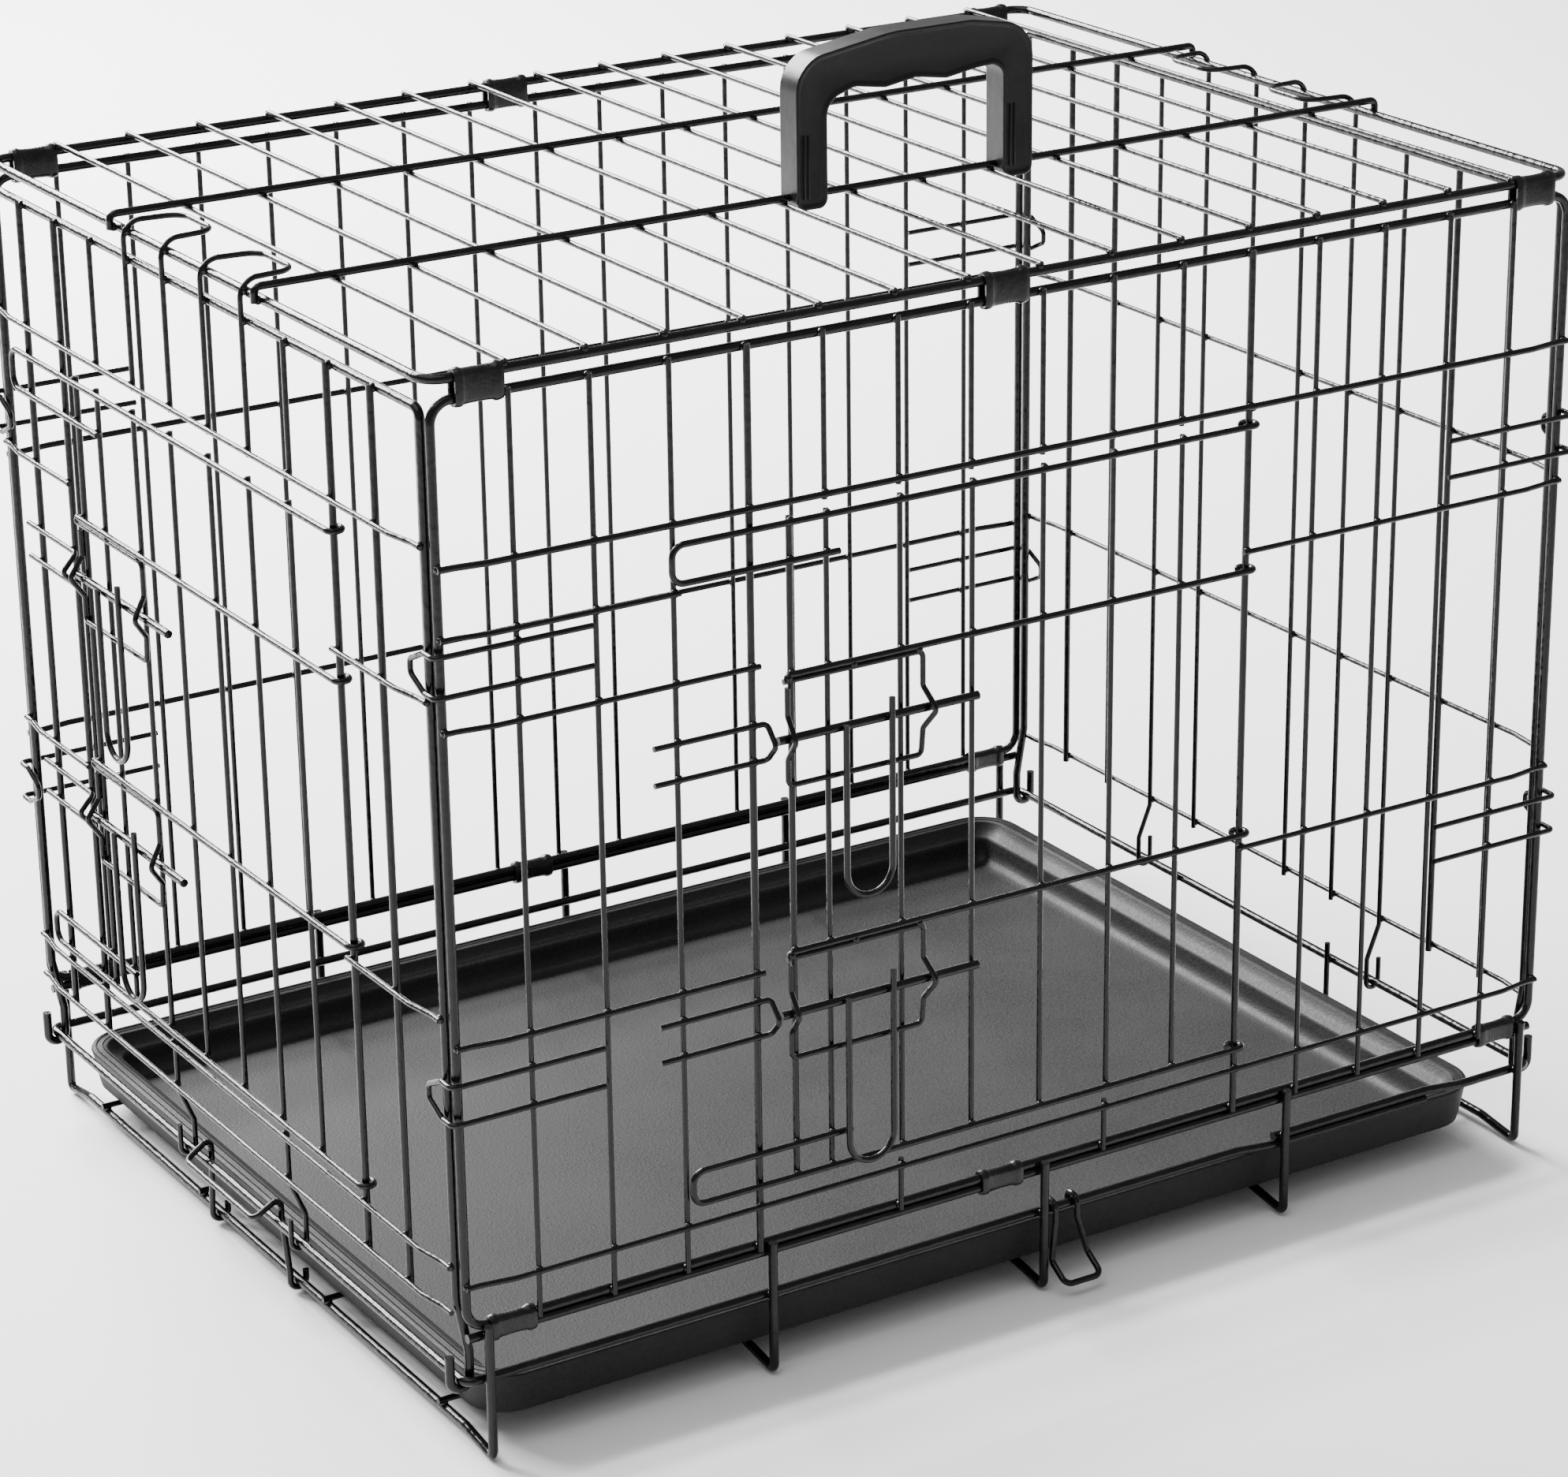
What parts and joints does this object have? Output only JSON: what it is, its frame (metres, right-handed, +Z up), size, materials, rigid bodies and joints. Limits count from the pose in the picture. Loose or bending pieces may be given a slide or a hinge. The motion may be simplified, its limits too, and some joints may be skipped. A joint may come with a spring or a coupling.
{
  "type": "wire dog crate",
  "caption": "Folding welded-wire dog crate with a front door and an end door on slide-bolt latches, a lift-out plastic tray and a carry handle on the roof.",
  "frame": {"origin": "on the floor, under the middle of the cage", "axes": "+X along the long side towards the end with no door, +Y from the front side with the door to the back, +Z up"},
  "size_m": [0.6277, 0.4769, 0.5765],
  "materials": {
    "coated_wire": "gloss black coating on steel wire",
    "clip_sheet": "gloss black coating on crimped sheet",
    "tray_plastic": "satin black moulded plastic",
    "handle_plastic": "satin black moulded plastic"
  },
  "bodies": {
    "cage": {"back_bars": "coated_wire", "back_corner_hooks": "coated_wire", "back_frame": "coated_wire", "back_rails": "coated_wire", "base_back_clips": "clip_sheet", "base_cross_wires": "coated_wire", "base_floor_wires": "coated_wire", "base_front_clips": "clip_sheet", "base_hinge_rails": "coated_wire", "base_rim_rail": "coated_wire", "front_bars": "coated_wire", "front_bolt_keepers": "coated_wire", "front_corner_hooks": "coated_wire", "front_frame": "coated_wire", "front_rails": "coated_wire", "left_bars": "coated_wire", "left_bolt_keepers": "coated_wire", "left_foot_hooks": "coated_wire", "left_frame": "coated_wire", "left_rails": "coated_wire", "left_top_loops": "coated_wire", "right_bars": "coated_wire", "right_foot_hooks": "coated_wire", "right_frame": "coated_wire", "right_rails": "coated_wire", "right_top_loops": "coated_wire", "top_back_clips": "clip_sheet", "top_cross_wires": "coated_wire", "top_frame": "coated_wire", "top_front_clips": "clip_sheet", "top_long_wires": "coated_wire"},
    "front_door": {"front_door_rails": "coated_wire", "front_door_bars": "coated_wire", "front_bolt_guides": "coated_wire"},
    "front_upper_bolt": {"front_upper_bolt": "coated_wire"},
    "front_upper_pull": {"front_upper_pull": "coated_wire"},
    "front_lower_bolt": {"front_lower_bolt": "coated_wire"},
    "front_lower_pull": {"front_lower_pull": "coated_wire"},
    "end_door": {"end_door_rails": "coated_wire", "end_door_bars": "coated_wire", "end_bolt_guides": "coated_wire"},
    "end_upper_bolt": {"end_upper_bolt": "coated_wire"},
    "end_upper_pull": {"end_upper_pull": "coated_wire"},
    "end_lower_bolt": {"end_lower_bolt": "coated_wire"},
    "end_lower_pull": {"end_lower_pull": "coated_wire"},
    "tray": {"tray": "tray_plastic"},
    "tray_latch": {"tray_latch": "coated_wire"},
    "front_drop_hook": {"front_drop_hook": "coated_wire"},
    "carry_handle": {"carry_handle": "handle_plastic"}
  },
  "joints": [
    {"name": "front_door_swing", "type": "hinge", "parent": "cage", "child": "front_door", "pos_m": [0.1143, -0.22935, 0.25], "axis": [0, 0, 1], "range_deg": [0, 150]},
    {"name": "end_door_swing", "type": "hinge", "parent": "cage", "child": "end_door", "pos_m": [-0.30635, -0.1421, 0.25], "axis": [0, 0, 1], "range_deg": [0, 150]},
    {"name": "front_upper_bolt_slide", "type": "slide", "parent": "front_door", "child": "front_upper_bolt", "axis": [-1, 0, 0], "range_m": [-0.004, 0.022]},
    {"name": "front_upper_pull_lift", "type": "hinge", "parent": "front_upper_bolt", "child": "front_upper_pull", "pos_m": [-0.1464, -0.23425, 0.3115], "axis": [-1, 0, 0], "range_deg": [0, 95]},
    {"name": "end_upper_bolt_slide", "type": "slide", "parent": "end_door", "child": "end_upper_bolt", "axis": [0, 1, 0], "range_m": [-0.004, 0.022]},
    {"name": "end_upper_pull_lift", "type": "hinge", "parent": "end_upper_bolt", "child": "end_upper_pull", "pos_m": [-0.31125, 0.1361, 0.317], "axis": [0, 1, 0], "range_deg": [0, 95]},
    {"name": "front_lower_bolt_slide", "type": "slide", "parent": "front_door", "child": "front_lower_bolt", "axis": [-1, 0, 0], "range_m": [-0.004, 0.022]},
    {"name": "front_lower_pull_lift", "type": "hinge", "parent": "front_lower_bolt", "child": "front_lower_pull", "pos_m": [-0.1464, -0.23425, 0.1805], "axis": [-1, 0, 0], "range_deg": [0, 95]},
    {"name": "end_lower_bolt_slide", "type": "slide", "parent": "end_door", "child": "end_lower_bolt", "axis": [0, 1, 0], "range_m": [-0.004, 0.022]},
    {"name": "end_lower_pull_lift", "type": "hinge", "parent": "end_lower_bolt", "child": "end_lower_pull", "pos_m": [-0.31125, 0.1361, 0.1925], "axis": [0, 1, 0], "range_deg": [0, 95]},
    {"name": "handle_swing", "type": "hinge", "parent": "cage", "child": "carry_handle", "pos_m": [0.03, -0.0753, 0.50515], "axis": [1, 0, 0], "range_deg": [-80, 80]},
    {"name": "drop_hook_swing", "type": "hinge", "parent": "cage", "child": "front_drop_hook", "pos_m": [0.0165, -0.226, 0.04], "axis": [-1, 0, 0], "range_deg": [0, 90]},
    {"name": "tray_latch_slide", "type": "slide", "parent": "cage", "child": "tray_latch", "axis": [0, 1, 0], "range_m": [-0.02, 0.012]},
    {"name": "tray_lift", "type": "slide", "parent": "cage", "child": "tray", "axis": [0, 0, 1], "range_m": [0, 0.08]}
  ]
}
